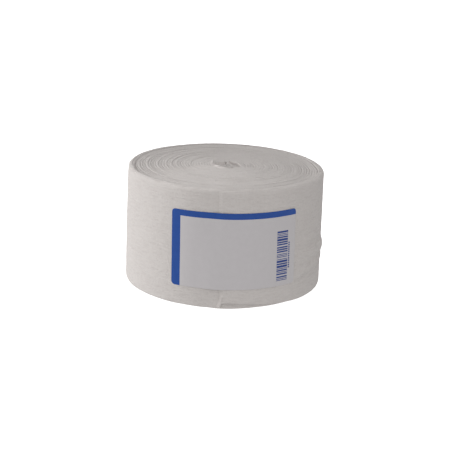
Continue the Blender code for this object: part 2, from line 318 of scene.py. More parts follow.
def drift_map(x, y, cell_x, cell_y, seed):
    """Smooth random values from -1 to 1 over a plane."""
    values = np.random.default_rng(seed).uniform(-1.0, 1.0, (DRIFT_SIDE, DRIFT_SIDE))
    across, up = np.asarray(x) / cell_x, np.asarray(y) / cell_y
    i, j = np.floor(across).astype(int), np.floor(up).astype(int)
    s, t = smooth_step(across - i), smooth_step(up - j)
    i, j, i2, j2 = (number % DRIFT_SIDE for number in (i, j, i + 1, j + 1))
    low = values[i, j] * (1.0 - s) + values[i2, j] * s
    high = values[i, j2] * (1.0 - s) + values[i2, j2] * s
    return low * (1.0 - t) + high * t


def relief(layer, x, y):
    """Random relief over a plane, from its size, its two cells and its seed."""
    size, cell_x, cell_y, seed = layer
    return size * drift_map(x, y, cell_x, cell_y, seed)


def wander(layer, place):
    """Random values along a line, from their size, cell and seed."""
    size, cell, seed = layer
    return size * drift(place, cell, seed)


def within(span, place):
    """Weight of places in a span, which eases in after its start and out before its end."""
    start, ease_in, end, ease_out = span
    return smooth_step((place - start) / ease_in) * smooth_step((end - place) / ease_out)


def arc_inset(distance, radius):
    """How far a round edge has drawn back at a distance from the end of its arc."""
    distance = np.clip(distance, 0.0, radius)
    return radius - np.sqrt(radius ** 2 - (radius - distance) ** 2)


def on_roll(angle, radius, height):
    """Points in the world from angles in degrees, radii and heights."""
    turn = np.radians(angle)
    x = AXIS_X + radius * np.sin(turn)
    y = AXIS_Y - radius * np.cos(turn)
    return np.stack(np.broadcast_arrays(x, y, height), axis=-1)


def lap_radius(angle):
    """Radius of the outermost cloth; the angle runs on past 360 for the laps inside it."""
    return OUTER_RADIUS - LAP_DROP * angle / 360.0


def flare(height):
    """How much wider the roll is at a height than at its top."""
    return BASE_FLARE * (1.0 - height / BANDAGE_WIDTH)


def crease_rise(angle, height, creases):
    """How far soft creases move the cloth outwards."""
    rise = np.zeros(np.broadcast(angle, height).shape)
    for start, start_height, end, end_height, half_width, most in creases:
        along = (angle - start) / (end - start)
        inside = (along > 0.0) & (along < 1.0)
        along = np.clip(along, 0.0, 1.0)
        middle = start_height + (end_height - start_height) * along
        across = np.clip(np.abs(height - middle) / half_width, 0.0, 1.0)
        swell = np.cos(0.5 * np.pi * across) ** 2
        fade = np.sin(np.pi * along ** CREASE_SKEW) ** CREASE_FADE
        rise += np.where(inside, most * swell * fade, 0.0)
    return rise


def long_edge(angle, column):
    """Value of one column of the long edges' table at an angle."""
    return np.interp(angle, LONG_EDGES[:, 0], LONG_EDGES[:, column])


def top_inset(angle, height):
    """How far the upper edge leans in, less so near the free edge and least at the tail."""
    lean = LEAN + LEAN_GAIN * smooth_step((angle - LEAN_GAIN_FROM) / LEAN_GAIN_EASE)
    near_tail = (angle - TAIL_ANGLE + TAIL_LEAN_FROM) / TAIL_LEAN_EASE
    lean = lean - TAIL_LEAN_LOSS * smooth_step(near_tail)
    soft = SOFT_EDGE_SHARE * np.exp(-((angle - SOFT_EDGE_ANGLE) / SOFT_EDGE_SPREAD) ** 2)
    below_top = BANDAGE_WIDTH - height
    inset = (lean - soft) * arc_inset(below_top, TOP_EDGE_RADIUS)
    return inset + soft * arc_inset(below_top, SOFT_EDGE_RADIUS)


def foot_inset(angle, height):
    """How far the lower edge curls in."""
    return long_edge(angle, 3) * arc_inset(height, BASE_EDGE_RADIUS)


def turn_shape(angle, height):
    """Radius of the outer skin of the outer turn, with its soft unevenness."""
    arc = np.radians(angle) * OUTER_RADIUS
    radius = lap_radius(angle) + flare(height) + crease_rise(angle, height, CREASE_RIDGES)
    radius = radius + relief(TURN_UNEVENNESS, arc, height)
    return radius - top_inset(angle, height) - foot_inset(angle, height)


def lifted_edge(angle, above_edge):
    """How far the lifted part of the lower edge stands out, by the distance above it."""
    fall = np.exp(-np.clip(above_edge, 0.0, None) / LIFT_FALL)
    return LIFT_RISE * within(LIFT_SPAN, angle) * fall


def forward_foot(angle, height):
    """How far the foot of the second lap stands out below the lifted edge."""
    return FOOT_RISE * within(FOOT_SPAN, angle) * np.exp(-height / FOOT_FALL)


def turn_ripple(angle, height):
    """Small unevenness of the cloth: puckers a few millimetres wide, and level streaks."""
    arc = np.radians(angle) * OUTER_RADIUS
    pucker = relief(WIDE_PUCKERS, arc, height) + relief(FINE_PUCKERS, arc, height)
    patch = 0.5 + relief(STREAK_PATCHES, arc, height)
    return pucker + patch * relief(STREAKS, arc, height)


# --- mesh helpers ---
# Edges between faces that turn by more than this many degrees are shaded sharp.
SHARP_TURN = 50.0
SHARP_BODY = 60.0
SHARP_LABEL = 40.0


def make_object(name, points, faces, materials, sharp_angle):
    """An object from points and faces, with its faces turned outwards."""
    mesh = bpy.data.meshes.new(name)
    mesh.from_pydata(points, [], faces)
    builder = bmesh.new()
    builder.from_mesh(mesh)
    bmesh.ops.recalc_face_normals(builder, faces=builder.faces[:])
    builder.to_mesh(mesh)
    builder.free()
    mesh.shade_smooth()
    mesh.set_sharp_from_angle(angle=math.radians(sharp_angle))
    for material in materials:
        mesh.materials.append(material)
    piece = bpy.data.objects.new(name, mesh)
    bpy.context.collection.objects.link(piece)
    return piece


def set_cloth_place(piece, along, across, lap):
    """Store where each point lies on the bandage: metres along, metres across, lap."""
    layer = piece.data.attributes.new("cloth_place", "FLOAT_VECTOR", "POINT")
    places = np.stack([np.ravel(along), np.ravel(across), np.ravel(lap)], axis=1)
    layer.data.foreach_set("vector", places.astype(np.float32).ravel())


def strip_faces(near, far):
    """Quads between two rows of point numbers of equal length."""
    return np.stack([near[:-1], far[:-1], far[1:], near[1:]], axis=1).tolist()


# --- the outer turn ---
def zip_faces(line, other):
    """Triangles between two rows of point numbers of different lengths."""
    faces = []
    i = j = 0
    while i < len(line) - 1 or j < len(other) - 1:
        step_line = (i + 1) / (len(line) - 1) <= (j + 1) / (len(other) - 1)
        if j == len(other) - 1 or (step_line and i < len(line) - 1):
            faces.append([int(line[i]), int(line[i + 1]), int(other[j])])
            i += 1
        else:
            faces.append([int(line[i]), int(other[j + 1]), int(other[j])])
            j += 1
    return faces


def build_outer_turn(material):
    """The last turn of the bandage as one closed sheet with folded long edges."""
    half = 0.5 * TURN_THICKNESS
    share = np.linspace(0.0, 1.0, TURN_ROWS)
    back_share = 1.0 - np.linspace(0.0, 1.0, TURN_BACK_ROWS) ** BACK_ROWS_POWER
    fold = np.linspace(0.0, np.pi, FOLD_POINTS + 2)[1:-1]
    # Round the section: outer skin upwards, upper fold, back skin downwards, lower fold.
    height_share = np.concatenate([share, np.ones(FOLD_POINTS), back_share, np.zeros(FOLD_POINTS)])
    fold_rise = np.concatenate([
        np.zeros(TURN_ROWS), np.sin(fold), np.zeros(TURN_BACK_ROWS), -np.sin(fold)])
    skin = np.concatenate([
        np.ones(TURN_ROWS), 0.5 + 0.5 * np.cos(fold), np.zeros(TURN_BACK_ROWS),
        0.5 - 0.5 * np.cos(fold)])

    near_share = EDGE_ZONE / TAIL_ANGLE
    run = np.concatenate([
        np.linspace(0.0, near_share, EDGE_COLUMNS)[:-1],
        np.linspace(near_share, 1.0, TURN_COLUMNS - EDGE_COLUMNS + 1)])[:, None]
    near_angle = np.interp(
        BANDAGE_WIDTH * height_share[None, :], FREE_EDGE_HEIGHTS, FREE_EDGE_ANGLES)
    angle = near_angle + (TAIL_ANGLE - near_angle) * run
    arc = np.radians(angle) * OUTER_RADIUS
    low = long_edge(angle, 1) * MM + LOWER_EDGE_WANDER[0] + half
    low += wander(LOWER_EDGE_WANDER, arc)
    high = long_edge(angle, 2) * MM - CREST_RISE
    high += wander(UPPER_EDGE_WANDER, arc) + wander(UPPER_EDGE_RIPPLE, arc)
    fold_height = np.where(fold_rise > 0.0, UPPER_FOLD_SHARE * half, half)
    height = low + (high - low) * height_share + fold_height * fold_rise
    height += BACK_RISE * (1.0 - skin) * height_share ** BACK_RISE_POWER

    from_edge = np.radians(angle - near_angle) * OUTER_RADIUS
    swell = EDGE_TAPER_SHARE * smooth_step(from_edge / EDGE_TAPER)
    swell += (1.0 - EDGE_TAPER_SHARE) * smooth_step(from_edge / EDGE_EASE)
    thickness = EDGE_THICKNESS + (TURN_THICKNESS - EDGE_THICKNESS) * swell
    radius = turn_shape(angle, height) - TURN_THICKNESS + thickness * skin
    radius += (turn_ripple(angle, height) - crease_rise(angle, height, CREASE_TROUGHS)) * skin
    hem = np.interp(height, HEM_HEIGHTS, HEM_RISES)
    radius += hem * np.sin(np.pi * np.clip(from_edge / HEM_WIDTH, 0.0, 1.0)) ** HEM_POWER
    radius += lifted_edge(angle, height - low) + forward_foot(angle, height)
    points = on_roll(angle, radius, height)

    columns, around = angle.shape
    numbers = np.arange(columns * around).reshape(columns, around)
    faces = []
    for near, far in zip(numbers[:-1], numbers[1:]):
        faces += strip_faces(np.append(near, near[0]), np.append(far, far[0]))
    for end in (numbers[0], numbers[-1]):
        back_start = TURN_ROWS + FOLD_POINTS
        back = end[back_start:back_start + TURN_BACK_ROWS][::-1]
        faces += zip_faces(end[:TURN_ROWS], back)
        faces.append([*end[TURN_ROWS - 1:back_start + 1].tolist()])
        faces.append([*end[back_start + TURN_BACK_ROWS - 1:].tolist(), int(end[0])])
    piece = make_object("outer_turn", points.reshape(-1, 3), faces, [material], SHARP_TURN)
    set_cloth_place(piece, arc, height, np.zeros_like(arc))
    return piece


# --- the turns inside ---
# The hollows beside the start of the bandage: middle, half sizes, turn, depth at the back
# and at the front.
EYE_HOLLOWS = [
    {"x": -4.9 * MM, "y": -0.6 * MM, "long": 5.6 * MM, "short": 8.0 * MM, "turn": 0.0,
     "back": 2.2 * MM, "front": 0.2 * MM},
    {"x": -0.5 * MM, "y": 6.4 * MM, "long": 1.5 * MM, "short": 2.6 * MM, "turn": 0.0,
     "back": 6.5 * MM, "front": 4.0 * MM},
    {"x": 6.0 * MM, "y": 4.0 * MM, "long": 9.6 * MM, "short": 3.7 * MM, "turn": -57.0,
     "back": 6.5 * MM, "front": 3.4 * MM},
]
EYE_WALL = 0.9 * MM
EYE_SHELVING = 6 * MM           # distance over which a hollow's depth changes

# The line of the cloth's start, which crosses the eye and hooks back into the right hollow.
START_LINE = np.array([
    (-2.6, 18.2), (0.0, 12.6), (1.2, 6.0), (1.9, 0.5), (2.8, -4.6), (4.4, -6.6),
    (6.4, -5.4), (6.9, -2.6), (6.2, -0.2)]) * MM
START_THICKNESS = 1.5 * MM
START_SINK = 1.5 * MM           # of the hooked end
START_SINK_FROM = 3.2 * MM
START_SINK_EASE = 2.5 * MM
EYE_WALL_POWER = 0.8

# The groove in front of the eye, and the fine laps round it.
EYE_GROOVE = np.array([(-2.6, -10.4), (3.0, -9.8), (8.0, -8.2), (11.4, -4.4)]) * MM
EYE_GROOVE_WIDTH = 0.8 * MM
EYE_GROOVE_DEPTH = 0.9 * MM
EYE_LAP_DEPTH = 0.5 * MM
EYE_LAP_POWER = 3
EYE_LAP_EASE = 1.5 * MM

# Two raised bits of the lap round the eye: a lip along an arc, and a nub.
EYE_LIP_MIDDLE = (1.5 * MM, -1.0 * MM)
EYE_LIP_RADIUS = 12.5 * MM
EYE_LIP_BEARING = -132.0
EYE_LIP_SPREAD = 55.0
EYE_LIP_REACH = 1.15            # in spreads; it fades out over the last one
EYE_LIP_WIDTH = 1.0 * MM
EYE_LIP_RISE = 1.4 * MM
EYE_NUB = {"x": -12.2 * MM, "y": 4.6 * MM, "wide": 1.0 * MM, "deep": 5.0 * MM, "rise": 1.6 * MM}

# The shallow dip to the right of the eye.
EYE_DIP_SPAN = (10.5 * MM, 5 * MM, 46 * MM, 30 * MM)
EYE_DIP_Y = 3 * MM
EYE_DIP_WIDTH = 8 * MM
EYE_DIP_DEPTH = 0.6 * MM


def distance_to_line(x, y, line):
    """Distance from places on a plane to a chain of short runs."""
    nearest = np.full(np.shape(x), np.inf)
    for (x0, y0), (x1, y1) in zip(line[:-1], line[1:]):
        run_x, run_y = x1 - x0, y1 - y0
        share = ((x - x0) * run_x + (y - y0) * run_y) / (run_x ** 2 + run_y ** 2)
        share = np.clip(share, 0.0, 1.0)
        gap = np.hypot(x - x0 - share * run_x, y - y0 - share * run_y)
        nearest = np.minimum(nearest, gap)
    return nearest


def outside_hollow(x, y, hollow):
    """Distance outside a hollow, about true near its edge; negative inside."""
    turn = math.radians(hollow["turn"])
    dx, dy = x - hollow["x"], y - hollow["y"]
    along = (dx * math.cos(turn) + dy * math.sin(turn)) / hollow["long"]
    across = (dy * math.cos(turn) - dx * math.sin(turn)) / hollow["short"]
    size = 0.5 * (hollow["long"] + hollow["short"])
    return (np.hypot(along, across) - 1.0) * size


def eye_height(x, y):
    """Height of the eye relative to the wound face: hollows, start and lips."""
    start = distance_to_line(x, y, START_LINE) - 0.5 * START_THICKNESS
    sink = START_SINK * smooth_step((x - START_SINK_FROM) / START_SINK_EASE)
    height = np.zeros(np.shape(x))
    nearest = np.full(np.shape(x), np.inf)
    for hollow in EYE_HOLLOWS:
        outside = outside_hollow(x, y, hollow)
        nearest = np.minimum(nearest, outside)
        backwards = 0.5 + 0.5 * (y - hollow["y"]) / EYE_SHELVING
        depth = hollow["front"] + (hollow["back"] - hollow["front"]) * smooth_step(backwards)
        from_wall = np.minimum(-outside, start) / EYE_WALL
        beside = depth * smooth_step(from_wall) ** EYE_WALL_POWER
        under = np.minimum(sink, depth) * smooth_step(-outside / EYE_WALL)
        height = np.minimum(height, -np.maximum(beside, under))
    groove = distance_to_line(x, y, EYE_GROOVE) / EYE_GROOVE_WIDTH
    height -= EYE_GROOVE_DEPTH * np.exp(-groove ** 2)
    lap_share = (nearest / LAP_DROP) % 1.0
    crest = np.where(nearest > 0.0, np.abs(2.0 * lap_share - 1.0) ** EYE_LAP_POWER, 0.0)
    inside_eye = EYE_RADIUS - np.hypot(x - AXIS_X, y - AXIS_Y)
    height -= EYE_LAP_DEPTH * crest * smooth_step(inside_eye / EYE_LAP_EASE)
    dx, dy = x - EYE_LIP_MIDDLE[0], y - EYE_LIP_MIDDLE[1]
    off_bearing = (np.degrees(np.arctan2(dy, dx)) - EYE_LIP_BEARING + 180.0) % 360.0 - 180.0
    lip = np.exp(-((np.hypot(dx, dy) - EYE_LIP_RADIUS) / EYE_LIP_WIDTH) ** 2)
    height += EYE_LIP_RISE * lip * smooth_step(EYE_LIP_REACH - np.abs(off_bearing) / EYE_LIP_SPREAD)
    nub = np.hypot((x - EYE_NUB["x"]) / EYE_NUB["wide"], (y - EYE_NUB["y"]) / EYE_NUB["deep"])
    height += EYE_NUB["rise"] * np.exp(-nub ** 2)
    dip = within(EYE_DIP_SPAN, x) * np.exp(-((y - EYE_DIP_Y) / EYE_DIP_WIDTH) ** 2)
    return height - EYE_DIP_DEPTH * dip


def turn_radii():
    """Radius of the winding at every half turn, with an uneven pitch."""
    halves = 2 * (BODY_LAPS + 4)
    change = np.random.default_rng(PITCH_SEED).uniform(-1.0, 1.0, halves)
    pitch = TURN_PITCH * (1.0 + PITCH_CHANGE * change)
    pitch[:OUTER_HALF_TURNS] = LAP_DROP
    radii = OUTER_RADIUS - np.concatenate([[0.0], np.cumsum(0.5 * pitch)])
    return 0.5 * np.arange(halves + 1), radii


def winding_radius(turns, table):
    """Radius after a number of turns from the free edge."""
    return np.interp(turns, *table)


def turns_at(radius):
    """Turns from the free edge to the middle of the turn at a radius on the left side."""
    halves, radii = turn_radii()
    turns = np.interp(-radius, -radii, halves)
    return np.round(turns - LEFT_TURN - 0.5) + LEFT_TURN + 0.5


def near_bearing(turns, bearing, width):
    """Weight of places near a bearing of the roll, in degrees, from turns."""
    off = (turns * 360.0 - bearing + 180.0) % 360.0 - 180.0
    return np.exp(-(off / width) ** 2)


def groove_depth(turns):
    """Depth of the groove outside a turn: clearest on the left, uneven on the right."""
    depth = GROOVE_DEPTH + wander(GROOVE_WANDER, turns) + wander(GROOVE_RIPPLE, turns)
    for more in (LEFT_GROOVES, RIGHT_GROOVES):
        near = near_bearing(turns, more["bearing"], more["spread"])
        depth = depth + near * (more["depth"] + wander(more["wander"], turns))
    inner = smooth_step((turns - INNER_FROM) / INNER_GROOVE_EASE)
    depth *= GROOVE_ON_RIM + (1.0 - GROOVE_ON_RIM) * inner
    return depth * MM


def rim_height(bearing, turns, radius):
    """How far the rim stands above the field, less the groove inside it."""
    height = RIM_RISE * smooth_step((RIM_TURNS - turns) / RIM_STEP)
    place = np.interp(bearing, RIM_GROOVE[:, 0], RIM_GROOVE[:, 1]) * MM
    depth = np.interp(bearing, RIM_GROOVE[:, 0], RIM_GROOVE[:, 2]) * MM
    height = height - depth * np.exp(-((radius - place) / RIM_GROOVE_WIDTH) ** 2)
    backwards = smooth_step((np.abs(bearing) - RIM_BACK_FROM) / RIM_BACK_EASE)
    on_rim = smooth_step((radius - RIM_BACK_INSIDE) / RIM_BACK_WIDTH)
    return height + RIM_BACK_RISE * backwards * on_rim


def top_face_height(turns, share, radius, x, y):
    """Height of the wound upper face; share runs across a turn from its outer groove."""
    bearing = np.degrees(np.arctan2(x - AXIS_X, AXIS_Y - y))
    height = FIELD_HEIGHT + FIELD_CROWN * (1.0 - radius / OUTER_RADIUS)
    height = height + rim_height(bearing, turns, radius)

    middle = turns + 0.5
    high = wander(TURN_WANDER, middle) + wander(TURN_RIPPLE, middle)
    for place, rise in HIGH_TURNS:
        high = high + rise * np.exp(-((middle - turns_at(place)) / HIGH_TURN_WIDTH) ** 2)
    height += high * smooth_step((turns - INNER_FROM) / INNER_FIELD_EASE)
    height += relief(FACE_UNEVENNESS, x, y) + relief(FACE_PUCKERS, x, y)

    to_right = np.exp(-((bearing - FIELD_SINK_BEARING) / FIELD_SINK_SPREAD) ** 2)
    height -= to_right * np.interp(radius, FIELD_SINK[:, 0], FIELD_SINK[:, 1])
    depth = np.where(share < 0.5, groove_depth(turns), groove_depth(turns + 1.0))
    return height - depth * np.abs(2.0 * share - 1.0) ** GROOVE_POWER


def foot_face_height(turns, share, radius, x, y):
    """Height of the wound lower face; the crests rest on the surface."""
    uneven = 0.5 + wander(FOOT_WANDER, turns)
    return FOOT_UNEVENNESS * uneven + FOOT_GROOVE * np.abs(2.0 * share - 1.0) ** GROOVE_POWER


def build_wound_half(name, upper, columns, lap_points, material):
    """Half of the wound body as a closed solid, from its middle plane to one end face."""
    table = turn_radii()
    angle = (SEAM_ANGLE + 360.0 * np.arange(columns) / columns)[:, None]

    # The wall behind the outer turn, which rounds in towards the end face.
    if upper:
        wall_heights = UPPER_WALL
        wall_insets = top_inset(angle, wall_heights[None, :])
        face_height = top_face_height
        end_inset = UPPER_END_INSET
    else:
        wall_heights = LOWER_WALL
        wall_insets = foot_inset(angle, wall_heights[None, :])
        face_height = foot_face_height
        end_inset = LOWER_END_INSET
    wall_radius = winding_radius(angle / 360.0 + 1.0, table) - WALL_GAP
    wall = on_roll(angle, wall_radius + flare(wall_heights) - wall_insets, wall_heights)

    # The laps, from the outside inwards.
    lap = (np.arange(BODY_LAPS)[:, None] + np.zeros(len(lap_points))).ravel()[None, :]
    share = np.tile(lap_points, BODY_LAPS)[None, :]
    turns = 1.0 + lap + angle / 360.0
    radius = winding_radius(turns, table) * (1.0 - share)
    radius += winding_radius(turns + 1.0, table) * share
    inwards = turns + share - 1.0 - SEAM_ANGLE / 360.0
    radius -= end_inset * np.exp(-inwards / END_INSET_LAPS)
    flat = on_roll(angle, radius, 0.0)
    wobble = relief(LAP_WOBBLE, flat[..., 0], flat[..., 1])
    radius += wobble * smooth_step(inwards / END_INSET_LAPS)
    face = on_roll(angle, radius, 0.0)
    face[..., 2] = face_height(turns, share, radius, face[..., 0], face[..., 1])

    # The eye in the middle.
    spread = np.linspace(0.0, 1.0, EYE_ROWS)[None, :]
    edge = radius[:, -1:] - EYE_EDGE_GAP
    eye_radius = edge + (EYE_MIDDLE_RADIUS - edge) * spread
    eye = on_roll(angle, eye_radius, EYE_FOOT_HEIGHT)
    if upper:
        eye[..., 2] = FIELD_HEIGHT + FIELD_CROWN * (1.0 - eye_radius / OUTER_RADIUS)
    for grid in (face, eye):
        dent = eye_height(grid[..., 0], grid[..., 1])
        grid[..., 2] += dent if upper else -np.minimum(dent, 0.0)

    grids = [wall, face, eye]
    numbers = []
    start = 0
    for grid in grids:
        count = grid.shape[0] * grid.shape[1]
        numbers.append(np.arange(start, start + count).reshape(grid.shape[:2]))
        start += count
    wall_n, face_n, eye_n = numbers
    middle_point = (AXIS_X, AXIS_Y, BODY_MIDDLE)
    eye_middle = (AXIS_X, AXIS_Y, float(eye[:, -1, 2].mean()))
    points = np.concatenate(
        [grid.reshape(-1, 3) for grid in grids] + [[middle_point], [eye_middle]])
    hub, eye_hub = start, start + 1

    one_lap = len(lap_points)
    faces = []
    for column in range(columns):
        following = (column + 1) % columns
        here, there = face_n[column].tolist(), face_n[following].tolist()
        wall_here, wall_there = wall_n[column], wall_n[following]
        eye_here, eye_there = eye_n[column], eye_n[following]
        faces.append([hub, int(wall_there[0]), int(wall_here[0])])
        faces += strip_faces(wall_here, wall_there)
        faces += strip_faces(eye_here, eye_there)
        faces.append([int(eye_here[-1]), int(eye_there[-1]), eye_hub])
        outer_gap = [int(wall_here[-1]), int(wall_there[-1])]
        inner_gap = [int(eye_there[0]), int(eye_here[0])]
        faces.append([*outer_gap, there[0], here[0]])
        faces.append([here[-1], there[-1], *inner_gap])
        if following:
            faces += strip_faces(face_n[column], face_n[following])
        else:
            # One turn on, the last column meets the next lap of the first column.
            faces += strip_faces(face_n[column][:-one_lap], face_n[following][one_lap:])
            for near, far in zip(there[:one_lap], there[1:one_lap + 1]):
                faces.append([here[0], near, far])
            for near, far in zip(here[-one_lap - 1:-1], here[-one_lap:]):
                faces.append([near, there[-1], far])
    piece = make_object(name, points, faces, [material], SHARP_BODY)

    # Metres along the bandage follow the winding, so that they run on from lap to lap.
    half_turns, half_radii = table
    lengths = np.cumsum(np.append(0.0, 0.5 * np.pi * (half_radii[:-1] + half_radii[1:])))
    arcs = [np.radians(angle) * wall_radius + 0.0 * wall[..., 2],
            np.interp(turns, half_turns, lengths) + 0.0 * radius,
            np.radians(angle) * eye_radius]
    overs = [wall[..., 2], TURN_PITCH * (turns + share), eye_radius]
    laps = [0.0 * wall[..., 2], turns + 0.0 * radius, BODY_LAPS + 0.0 * eye_radius]
    along, across, lap_at = (
        np.concatenate([part.ravel() for part in parts] + [[0.0, 0.0]])
        for parts in (arcs, overs, laps))
    set_cloth_place(piece, along, across, lap_at)
    return piece


# --- the label ---
def label_surface(angle, height):
    """Radius of the label's back: its foot tents over the free edge, its top hugs it."""
    up = smooth_step((height - LABEL_LOW) / (LABEL_HIGH - LABEL_LOW))
    tent = smooth_step((angle - LABEL_LIFT_FROM) / (LABEL_LIFT_TO - LABEL_LIFT_FROM))
    past_edge = angle - np.interp(height, FREE_EDGE_HEIGHTS, FREE_EDGE_ANGLES)
    hug = np.interp(past_edge, LABEL_CLIMB[:, 0], LABEL_CLIMB[:, 1])
    lift = tent + (hug - tent) * up
    before = turn_shape(angle + 360.0, height)
    return before + (turn_shape(angle, height) - before) * lift + LABEL_GAP


def label_marks():
    """Generic marks, which hold no message: a block of bars and a column of dashes.

    Each mark is its left, right, lower and upper edge. Bars and gaps take one to three
    modules.
    """
    random = np.random.default_rng(BAR_SEED)
    marks = []
    place = BAR_LOW
    while place < BAR_HIGH:
        thick = BAR_MODULE * random.choice(BAR_MODULES)
        top = min(place + thick, BAR_HIGH)
        marks.append((BAR_LEFT, BAR_RIGHT, place, top))
        place += thick + BAR_MODULE * random.choice(BAR_GAP_MODULES)
    for low in np.arange(DASH_LOW, DASH_HIGH, DASH_STEP):
        marks.append((DASH_LEFT, DASH_RIGHT, low, low + DASH_LENGTH))
    return marks


def build_label(paper, blue, ink):
    """The paper label: a thin closed sheet whose printed areas are faces of their own."""
    width = math.radians(LABEL_RIGHT - LABEL_LEFT) * OUTER_RADIUS
    tall = LABEL_HIGH - LABEL_LOW
    corner_turn = np.linspace(0.0, 0.5 * np.pi, LABEL_CORNER_STEPS)
    corner_steps = LABEL_CORNER * (1.0 - np.cos(corner_turn))
    x_lines = [*corner_steps, LEFT_BAND, BAR_LEFT, BAR_RIGHT, DASH_LEFT, DASH_RIGHT]
    x_lines += (width - corner_steps).tolist()
    x_lines += np.linspace(LEFT_BAND, BAR_LEFT, LABEL_COLUMNS)[1:-1].tolist()
    x_lines = np.unique(np.round(x_lines, 6))

    marks = label_marks()
    band_low = tall - TOP_BAND
    y_lines = [0.0, band_low, tall]
    y_lines += [edge for mark in marks for edge in mark[2:]]
    y_lines += np.linspace(BAR_HIGH + LABEL_OVER_BARS, band_low, LABEL_ROWS)[:-1].tolist()
    y_lines += np.linspace(band_low, tall, LABEL_BAND_ROWS)[1:-1].tolist()
    y_lines = np.unique(np.round(y_lines, 6))

    x, y = np.meshgrid(x_lines, y_lines, indexing="ij")
    corner = arc_inset(np.minimum(x, width - x), LABEL_CORNER)
    # The upper and lower edges are drawn in at the round corners.
    y = np.clip(y, corner, tall - corner)
    angle = LABEL_LEFT + np.degrees(x / OUTER_RADIUS) + LABEL_LEAN * (0.5 - y / tall)
    height = LABEL_LOW + y + LABEL_RISE * x / width
    back = label_surface(angle, height)
    inner = on_roll(angle, back, height)
    outer = on_roll(angle, back + LABEL_THICKNESS, height)

    columns, rows = x.shape
    count = columns * rows
    numbers = np.arange(count).reshape(columns, rows)
    faces = []
    kinds = []
    for i in range(columns - 1):
        for j in range(rows - 1):
            quad = [numbers[i, j], numbers[i + 1, j], numbers[i + 1, j + 1], numbers[i, j + 1]]
            quad = [int(n) for n in quad]
            faces.append(quad)
            kinds.append(0)
            faces.append([n + count for n in quad])
            mid_x = 0.5 * (x_lines[i] + x_lines[i + 1])
            mid_y = 0.5 * (y_lines[j] + y_lines[j + 1])
            kind = 0
            if mid_x < LEFT_BAND or mid_y > band_low:
                kind = 1
            elif any(a < mid_x < b and c < mid_y < d for a, b, c, d in marks):
                kind = 2
            kinds.append(kind)
    edge = np.concatenate([
        numbers[:, 0], numbers[-1, 1:], numbers[-2::-1, -1], numbers[0, -2:0:-1]])
    for near, far in zip(edge, np.roll(edge, -1)):
        near, far = int(near), int(far)
        faces.append([near, far, far + count, near + count])
        kinds.append(0)
    points = np.concatenate([inner.reshape(-1, 3), outer.reshape(-1, 3)])
    piece = make_object("label_sheet", points, faces, [paper, blue, ink], SHARP_LABEL)
    piece.data.polygons.foreach_set("material_index", kinds)
    along = np.tile(x.ravel(), 2)
    set_cloth_place(piece, along, np.tile(y.ravel(), 2), 0.0 * along)
    return piece


# --- materials ---
LEVEL_THREAD = 0.95 * MM
UPRIGHT_THREAD = 1.15 * MM
THREAD_WANDER = 2.6

# Noises of the cloth and the paper: scale along, across and by lap; detail; roughness;
# distortion.
CLOTH_STREAKS = ((95.0, 620.0, 3.0), 3.0, 0.65)
CLOTH_CREPE = ((650.0, 800.0, 7.0), 2.0, 0.55, 0.6)
CLOTH_PATCHES = ((60.0, 70.0, 1.0), 2.0, 0.5)
CLOTH_MOTTLE = ((330.0, 380.0, 2.0), 3.0, 0.7)
PAPER_MOTTLE = ((220.0, 220.0, 1.0), 3.0, 0.6)
PAPER_FIBRE = ((1500.0, 1500.0, 1.0), 2.0, 0.5)
LEVEL_THREAD_NOISE = (170.0, 260.0, 5.0)
UPRIGHT_THREAD_NOISE = (260.0, 170.0, 5.0)
CLOTH_BUMP = 0.3 * MM
CLOTH_BUMP_SHARE = 1.0
PAPER_BUMP = 0.03 * MM
PAPER_BUMP_SHARE = 0.4
CLOTH_SURFACE = {"Roughness": 0.95, "Specular IOR Level": 0.15,
                 "Sheen Weight": 0.15, "Sheen Roughness": 0.6}
PAPER_SHINE = 0.3
PAPER_ROUGHNESS = 0.55
BLUE_ROUGHNESS = 0.5

# Colours, each from a darker to a lighter tone, and where their ramps start and end.
RAMP_PLACES = (0.3, 0.7)
CLOTH_TONES = ((0.570, 0.522, 0.503), (0.678, 0.638, 0.615))
PAPER_TONES = ((0.545, 0.520, 0.530), (0.562, 0.538, 0.548))
BLUE_TONES = ((0.002, 0.052, 0.275), (0.004, 0.060, 0.30))
INK_TONES = ((0.010, 0.036, 0.19), (0.015, 0.046, 0.215))


def set_inputs(node, values):
    """Set sockets of a node by their names."""
    for name, value in values.items():
        node.inputs[name].default_value = value


